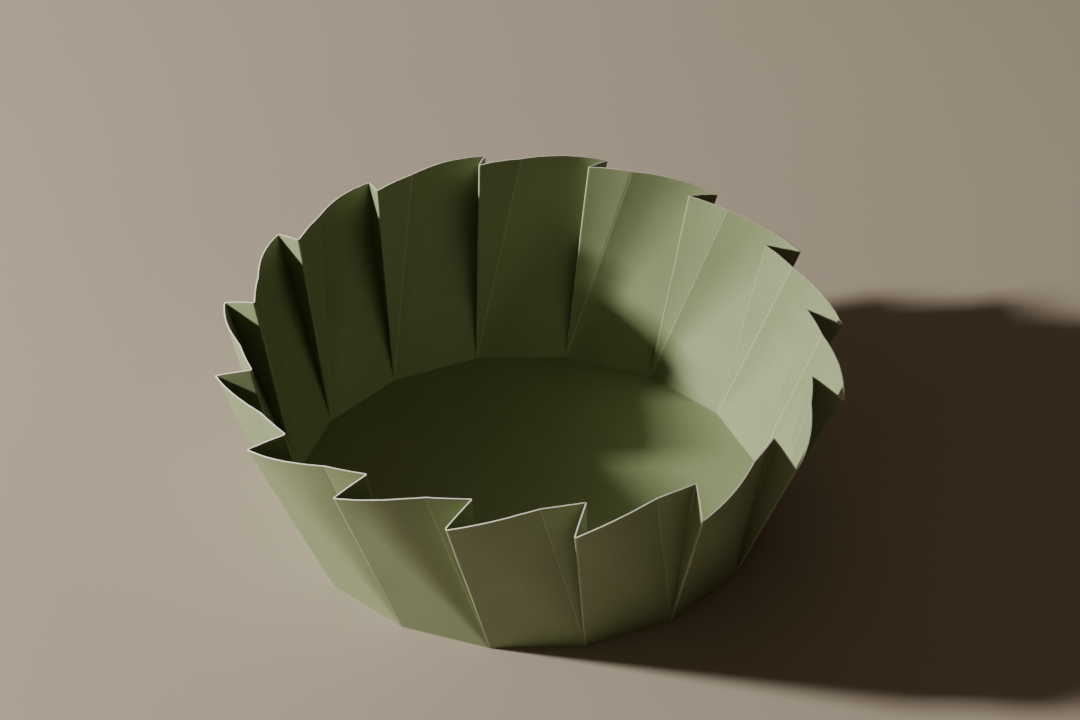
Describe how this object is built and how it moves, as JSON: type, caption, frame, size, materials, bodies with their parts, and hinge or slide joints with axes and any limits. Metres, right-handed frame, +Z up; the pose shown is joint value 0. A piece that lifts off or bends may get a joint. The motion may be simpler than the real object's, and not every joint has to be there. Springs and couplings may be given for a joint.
{
  "type": "pleated card cake vessel",
  "caption": "Round vessel folded from one disc of coated card: flat polygon base, leaning walls and one-way saw-tooth pleats; it opens flat.",
  "frame": {"origin": "centre of the base's underside, on the surface the vessel stands on", "axes": "+Z up along the vessel's axis; -Y towards the middle of the first wall; walls run anticlockwise seen from above"},
  "size_m": [0.3238, 0.3238, 0.106],
  "materials": {
    "card": "satin coated, sage green both sides"
  },
  "bodies": {
    "base": {"base": "card"},
    "wall_01": {"wall_01": "card"},
    "gusset_01": {"gusset_01": "card"},
    "return_01": {"return_01": "card"},
    "wall_02": {"wall_02": "card"},
    "gusset_02": {"gusset_02": "card"},
    "return_02": {"return_02": "card"},
    "wall_03": {"wall_03": "card"},
    "gusset_03": {"gusset_03": "card"},
    "return_03": {"return_03": "card"},
    "wall_04": {"wall_04": "card"},
    "gusset_04": {"gusset_04": "card"},
    "return_04": {"return_04": "card"},
    "wall_05": {"wall_05": "card"},
    "gusset_05": {"gusset_05": "card"},
    "return_05": {"return_05": "card"},
    "wall_06": {"wall_06": "card"},
    "gusset_06": {"gusset_06": "card"},
    "return_06": {"return_06": "card"},
    "wall_07": {"wall_07": "card"},
    "gusset_07": {"gusset_07": "card"},
    "return_07": {"return_07": "card"},
    "wall_08": {"wall_08": "card"},
    "gusset_08": {"gusset_08": "card"},
    "return_08": {"return_08": "card"},
    "wall_09": {"wall_09": "card"},
    "gusset_09": {"gusset_09": "card"},
    "return_09": {"return_09": "card"},
    "wall_10": {"wall_10": "card"},
    "gusset_10": {"gusset_10": "card"},
    "return_10": {"return_10": "card"},
    "wall_11": {"wall_11": "card"},
    "gusset_11": {"gusset_11": "card"},
    "return_11": {"return_11": "card"},
    "wall_12": {"wall_12": "card"},
    "gusset_12": {"gusset_12": "card"},
    "return_12": {"return_12": "card"},
    "wall_13": {"wall_13": "card"},
    "gusset_13": {"gusset_13": "card"},
    "return_13": {"return_13": "card"},
    "wall_14": {"wall_14": "card"},
    "gusset_14": {"gusset_14": "card"},
    "return_14": {"return_14": "card"},
    "wall_15": {"wall_15": "card"},
    "gusset_15": {"gusset_15": "card"},
    "return_15": {"return_15": "card"},
    "wall_16": {"wall_16": "card"},
    "gusset_16": {"gusset_16": "card"},
    "return_16": {"return_16": "card"}
  },
  "joints": [
    {"name": "wall_01_fold", "type": "hinge", "parent": "base", "child": "wall_01", "pos_m": [-0.02341, -0.11769, 0.0003], "axis": [1, 0, 0], "range_deg": [0, 68.5]},
    {"name": "gusset_01_fold", "type": "hinge", "parent": "wall_01", "child": "gusset_01", "pos_m": [0.02341, -0.11769, 0.0003], "axis": [0.2045, 0.3588, -0.9108], "range_deg": [0, 38.47]},
    {"name": "return_01_fold", "type": "hinge", "parent": "wall_01", "child": "return_01", "pos_m": [-0.02341, -0.11769, 0.0003], "axis": [-0.2045, -0.3588, 0.9108], "range_deg": [0, 115.03]},
    {"name": "wall_02_fold", "type": "hinge", "parent": "base", "child": "wall_02", "pos_m": [0.02341, -0.11769, 0.0003], "axis": [0.9239, 0.3827, 0], "range_deg": [0, 68.5]},
    {"name": "gusset_02_fold", "type": "hinge", "parent": "wall_02", "child": "gusset_02", "pos_m": [0.06667, -0.09978, 0.0003], "axis": [0.0516, 0.4097, -0.9108], "range_deg": [0, 38.47]},
    {"name": "return_02_fold", "type": "hinge", "parent": "wall_02", "child": "return_02", "pos_m": [0.02341, -0.11769, 0.0003], "axis": [-0.0516, -0.4097, 0.9108], "range_deg": [0, 115.03]},
    {"name": "wall_03_fold", "type": "hinge", "parent": "base", "child": "wall_03", "pos_m": [0.06667, -0.09978, 0.0003], "axis": [0.7071, 0.7071, 0], "range_deg": [0, 68.5]},
    {"name": "gusset_03_fold", "type": "hinge", "parent": "wall_03", "child": "gusset_03", "pos_m": [0.09978, -0.06667, 0.0003], "axis": [-0.1091, 0.3983, -0.9108], "range_deg": [0, 38.47]},
    {"name": "return_03_fold", "type": "hinge", "parent": "wall_03", "child": "return_03", "pos_m": [0.06667, -0.09978, 0.0003], "axis": [0.1091, -0.3983, 0.9108], "range_deg": [0, 115.03]},
    {"name": "wall_04_fold", "type": "hinge", "parent": "base", "child": "wall_04", "pos_m": [0.09978, -0.06667, 0.0003], "axis": [0.3827, 0.9239, 0], "range_deg": [0, 68.5]},
    {"name": "gusset_04_fold", "type": "hinge", "parent": "wall_04", "child": "gusset_04", "pos_m": [0.11769, -0.02341, 0.0003], "axis": [-0.2532, 0.3262, -0.9108], "range_deg": [0, 38.47]},
    {"name": "return_04_fold", "type": "hinge", "parent": "wall_04", "child": "return_04", "pos_m": [0.09978, -0.06667, 0.0003], "axis": [0.2532, -0.3262, 0.9108], "range_deg": [0, 115.03]},
    {"name": "wall_05_fold", "type": "hinge", "parent": "base", "child": "wall_05", "pos_m": [0.11769, -0.02341, 0.0003], "axis": [0, 1, 0], "range_deg": [0, 68.5]},
    {"name": "gusset_05_fold", "type": "hinge", "parent": "wall_05", "child": "gusset_05", "pos_m": [0.11769, 0.02341, 0.0003], "axis": [-0.3588, 0.2045, -0.9108], "range_deg": [0, 38.47]},
    {"name": "return_05_fold", "type": "hinge", "parent": "wall_05", "child": "return_05", "pos_m": [0.11769, -0.02341, 0.0003], "axis": [0.3588, -0.2045, 0.9108], "range_deg": [0, 115.03]},
    {"name": "wall_06_fold", "type": "hinge", "parent": "base", "child": "wall_06", "pos_m": [0.11769, 0.02341, 0.0003], "axis": [-0.3827, 0.9239, 0], "range_deg": [0, 68.5]},
    {"name": "gusset_06_fold", "type": "hinge", "parent": "wall_06", "child": "gusset_06", "pos_m": [0.09978, 0.06667, 0.0003], "axis": [-0.4097, 0.0516, -0.9108], "range_deg": [0, 38.47]},
    {"name": "return_06_fold", "type": "hinge", "parent": "wall_06", "child": "return_06", "pos_m": [0.11769, 0.02341, 0.0003], "axis": [0.4097, -0.0516, 0.9108], "range_deg": [0, 115.03]},
    {"name": "wall_07_fold", "type": "hinge", "parent": "base", "child": "wall_07", "pos_m": [0.09978, 0.06667, 0.0003], "axis": [-0.7071, 0.7071, 0], "range_deg": [0, 68.5]},
    {"name": "gusset_07_fold", "type": "hinge", "parent": "wall_07", "child": "gusset_07", "pos_m": [0.06667, 0.09978, 0.0003], "axis": [-0.3983, -0.1091, -0.9108], "range_deg": [0, 38.47]},
    {"name": "return_07_fold", "type": "hinge", "parent": "wall_07", "child": "return_07", "pos_m": [0.09978, 0.06667, 0.0003], "axis": [0.3983, 0.1091, 0.9108], "range_deg": [0, 115.03]},
    {"name": "wall_08_fold", "type": "hinge", "parent": "base", "child": "wall_08", "pos_m": [0.06667, 0.09978, 0.0003], "axis": [-0.9239, 0.3827, 0], "range_deg": [0, 68.5]},
    {"name": "gusset_08_fold", "type": "hinge", "parent": "wall_08", "child": "gusset_08", "pos_m": [0.02341, 0.11769, 0.0003], "axis": [-0.3262, -0.2532, -0.9108], "range_deg": [0, 38.47]},
    {"name": "return_08_fold", "type": "hinge", "parent": "wall_08", "child": "return_08", "pos_m": [0.06667, 0.09978, 0.0003], "axis": [0.3262, 0.2532, 0.9108], "range_deg": [0, 115.03]},
    {"name": "wall_09_fold", "type": "hinge", "parent": "base", "child": "wall_09", "pos_m": [0.02341, 0.11769, 0.0003], "axis": [-1, 0, 0], "range_deg": [0, 68.5]},
    {"name": "gusset_09_fold", "type": "hinge", "parent": "wall_09", "child": "gusset_09", "pos_m": [-0.02341, 0.11769, 0.0003], "axis": [-0.2045, -0.3588, -0.9108], "range_deg": [0, 38.47]},
    {"name": "return_09_fold", "type": "hinge", "parent": "wall_09", "child": "return_09", "pos_m": [0.02341, 0.11769, 0.0003], "axis": [0.2045, 0.3588, 0.9108], "range_deg": [0, 115.03]},
    {"name": "wall_10_fold", "type": "hinge", "parent": "base", "child": "wall_10", "pos_m": [-0.02341, 0.11769, 0.0003], "axis": [-0.9239, -0.3827, 0], "range_deg": [0, 68.5]},
    {"name": "gusset_10_fold", "type": "hinge", "parent": "wall_10", "child": "gusset_10", "pos_m": [-0.06667, 0.09978, 0.0003], "axis": [-0.0516, -0.4097, -0.9108], "range_deg": [0, 38.47]},
    {"name": "return_10_fold", "type": "hinge", "parent": "wall_10", "child": "return_10", "pos_m": [-0.02341, 0.11769, 0.0003], "axis": [0.0516, 0.4097, 0.9108], "range_deg": [0, 115.03]},
    {"name": "wall_11_fold", "type": "hinge", "parent": "base", "child": "wall_11", "pos_m": [-0.06667, 0.09978, 0.0003], "axis": [-0.7071, -0.7071, 0], "range_deg": [0, 68.5]},
    {"name": "gusset_11_fold", "type": "hinge", "parent": "wall_11", "child": "gusset_11", "pos_m": [-0.09978, 0.06667, 0.0003], "axis": [0.1091, -0.3983, -0.9108], "range_deg": [0, 38.47]},
    {"name": "return_11_fold", "type": "hinge", "parent": "wall_11", "child": "return_11", "pos_m": [-0.06667, 0.09978, 0.0003], "axis": [-0.1091, 0.3983, 0.9108], "range_deg": [0, 115.03]},
    {"name": "wall_12_fold", "type": "hinge", "parent": "base", "child": "wall_12", "pos_m": [-0.09978, 0.06667, 0.0003], "axis": [-0.3827, -0.9239, 0], "range_deg": [0, 68.5]},
    {"name": "gusset_12_fold", "type": "hinge", "parent": "wall_12", "child": "gusset_12", "pos_m": [-0.11769, 0.02341, 0.0003], "axis": [0.2532, -0.3262, -0.9108], "range_deg": [0, 38.47]},
    {"name": "return_12_fold", "type": "hinge", "parent": "wall_12", "child": "return_12", "pos_m": [-0.09978, 0.06667, 0.0003], "axis": [-0.2532, 0.3262, 0.9108], "range_deg": [0, 115.03]},
    {"name": "wall_13_fold", "type": "hinge", "parent": "base", "child": "wall_13", "pos_m": [-0.11769, 0.02341, 0.0003], "axis": [0, -1, 0], "range_deg": [0, 68.5]},
    {"name": "gusset_13_fold", "type": "hinge", "parent": "wall_13", "child": "gusset_13", "pos_m": [-0.11769, -0.02341, 0.0003], "axis": [0.3588, -0.2045, -0.9108], "range_deg": [0, 38.47]},
    {"name": "return_13_fold", "type": "hinge", "parent": "wall_13", "child": "return_13", "pos_m": [-0.11769, 0.02341, 0.0003], "axis": [-0.3588, 0.2045, 0.9108], "range_deg": [0, 115.03]},
    {"name": "wall_14_fold", "type": "hinge", "parent": "base", "child": "wall_14", "pos_m": [-0.11769, -0.02341, 0.0003], "axis": [0.3827, -0.9239, 0], "range_deg": [0, 68.5]},
    {"name": "gusset_14_fold", "type": "hinge", "parent": "wall_14", "child": "gusset_14", "pos_m": [-0.09978, -0.06667, 0.0003], "axis": [0.4097, -0.0516, -0.9108], "range_deg": [0, 38.47]},
    {"name": "return_14_fold", "type": "hinge", "parent": "wall_14", "child": "return_14", "pos_m": [-0.11769, -0.02341, 0.0003], "axis": [-0.4097, 0.0516, 0.9108], "range_deg": [0, 115.03]},
    {"name": "wall_15_fold", "type": "hinge", "parent": "base", "child": "wall_15", "pos_m": [-0.09978, -0.06667, 0.0003], "axis": [0.7071, -0.7071, 0], "range_deg": [0, 68.5]},
    {"name": "gusset_15_fold", "type": "hinge", "parent": "wall_15", "child": "gusset_15", "pos_m": [-0.06667, -0.09978, 0.0003], "axis": [0.3983, 0.1091, -0.9108], "range_deg": [0, 38.47]},
    {"name": "return_15_fold", "type": "hinge", "parent": "wall_15", "child": "return_15", "pos_m": [-0.09978, -0.06667, 0.0003], "axis": [-0.3983, -0.1091, 0.9108], "range_deg": [0, 115.03]},
    {"name": "wall_16_fold", "type": "hinge", "parent": "base", "child": "wall_16", "pos_m": [-0.06667, -0.09978, 0.0003], "axis": [0.9239, -0.3827, 0], "range_deg": [0, 68.5]},
    {"name": "gusset_16_fold", "type": "hinge", "parent": "wall_16", "child": "gusset_16", "pos_m": [-0.02341, -0.11769, 0.0003], "axis": [0.3262, 0.2532, -0.9108], "range_deg": [0, 38.47]},
    {"name": "return_16_fold", "type": "hinge", "parent": "wall_16", "child": "return_16", "pos_m": [-0.06667, -0.09978, 0.0003], "axis": [-0.3262, -0.2532, 0.9108], "range_deg": [0, 115.03]}
  ],
  "couplings": [
    {"joint": "gusset_01_fold", "follows": "wall_01_fold", "ratio": 0.56159},
    {"joint": "return_01_fold", "follows": "wall_01_fold", "ratio": 1.6792},
    {"joint": "wall_02_fold", "follows": "wall_01_fold", "ratio": 1},
    {"joint": "gusset_02_fold", "follows": "wall_01_fold", "ratio": 0.56159},
    {"joint": "return_02_fold", "follows": "wall_01_fold", "ratio": 1.6792},
    {"joint": "wall_03_fold", "follows": "wall_01_fold", "ratio": 1},
    {"joint": "gusset_03_fold", "follows": "wall_01_fold", "ratio": 0.56159},
    {"joint": "return_03_fold", "follows": "wall_01_fold", "ratio": 1.6792},
    {"joint": "wall_04_fold", "follows": "wall_01_fold", "ratio": 1},
    {"joint": "gusset_04_fold", "follows": "wall_01_fold", "ratio": 0.56159},
    {"joint": "return_04_fold", "follows": "wall_01_fold", "ratio": 1.6792},
    {"joint": "wall_05_fold", "follows": "wall_01_fold", "ratio": 1},
    {"joint": "gusset_05_fold", "follows": "wall_01_fold", "ratio": 0.56159},
    {"joint": "return_05_fold", "follows": "wall_01_fold", "ratio": 1.6792},
    {"joint": "wall_06_fold", "follows": "wall_01_fold", "ratio": 1},
    {"joint": "gusset_06_fold", "follows": "wall_01_fold", "ratio": 0.56159},
    {"joint": "return_06_fold", "follows": "wall_01_fold", "ratio": 1.6792},
    {"joint": "wall_07_fold", "follows": "wall_01_fold", "ratio": 1},
    {"joint": "gusset_07_fold", "follows": "wall_01_fold", "ratio": 0.56159},
    {"joint": "return_07_fold", "follows": "wall_01_fold", "ratio": 1.6792},
    {"joint": "wall_08_fold", "follows": "wall_01_fold", "ratio": 1},
    {"joint": "gusset_08_fold", "follows": "wall_01_fold", "ratio": 0.56159},
    {"joint": "return_08_fold", "follows": "wall_01_fold", "ratio": 1.6792},
    {"joint": "wall_09_fold", "follows": "wall_01_fold", "ratio": 1},
    {"joint": "gusset_09_fold", "follows": "wall_01_fold", "ratio": 0.56159},
    {"joint": "return_09_fold", "follows": "wall_01_fold", "ratio": 1.6792},
    {"joint": "wall_10_fold", "follows": "wall_01_fold", "ratio": 1},
    {"joint": "gusset_10_fold", "follows": "wall_01_fold", "ratio": 0.56159},
    {"joint": "return_10_fold", "follows": "wall_01_fold", "ratio": 1.6792},
    {"joint": "wall_11_fold", "follows": "wall_01_fold", "ratio": 1},
    {"joint": "gusset_11_fold", "follows": "wall_01_fold", "ratio": 0.56159},
    {"joint": "return_11_fold", "follows": "wall_01_fold", "ratio": 1.6792},
    {"joint": "wall_12_fold", "follows": "wall_01_fold", "ratio": 1},
    {"joint": "gusset_12_fold", "follows": "wall_01_fold", "ratio": 0.56159},
    {"joint": "return_12_fold", "follows": "wall_01_fold", "ratio": 1.6792},
    {"joint": "wall_13_fold", "follows": "wall_01_fold", "ratio": 1},
    {"joint": "gusset_13_fold", "follows": "wall_01_fold", "ratio": 0.56159},
    {"joint": "return_13_fold", "follows": "wall_01_fold", "ratio": 1.6792},
    {"joint": "wall_14_fold", "follows": "wall_01_fold", "ratio": 1},
    {"joint": "gusset_14_fold", "follows": "wall_01_fold", "ratio": 0.56159},
    {"joint": "return_14_fold", "follows": "wall_01_fold", "ratio": 1.6792},
    {"joint": "wall_15_fold", "follows": "wall_01_fold", "ratio": 1},
    {"joint": "gusset_15_fold", "follows": "wall_01_fold", "ratio": 0.56159},
    {"joint": "return_15_fold", "follows": "wall_01_fold", "ratio": 1.6792},
    {"joint": "wall_16_fold", "follows": "wall_01_fold", "ratio": 1},
    {"joint": "gusset_16_fold", "follows": "wall_01_fold", "ratio": 0.56159},
    {"joint": "return_16_fold", "follows": "wall_01_fold", "ratio": 1.6792}
  ]
}
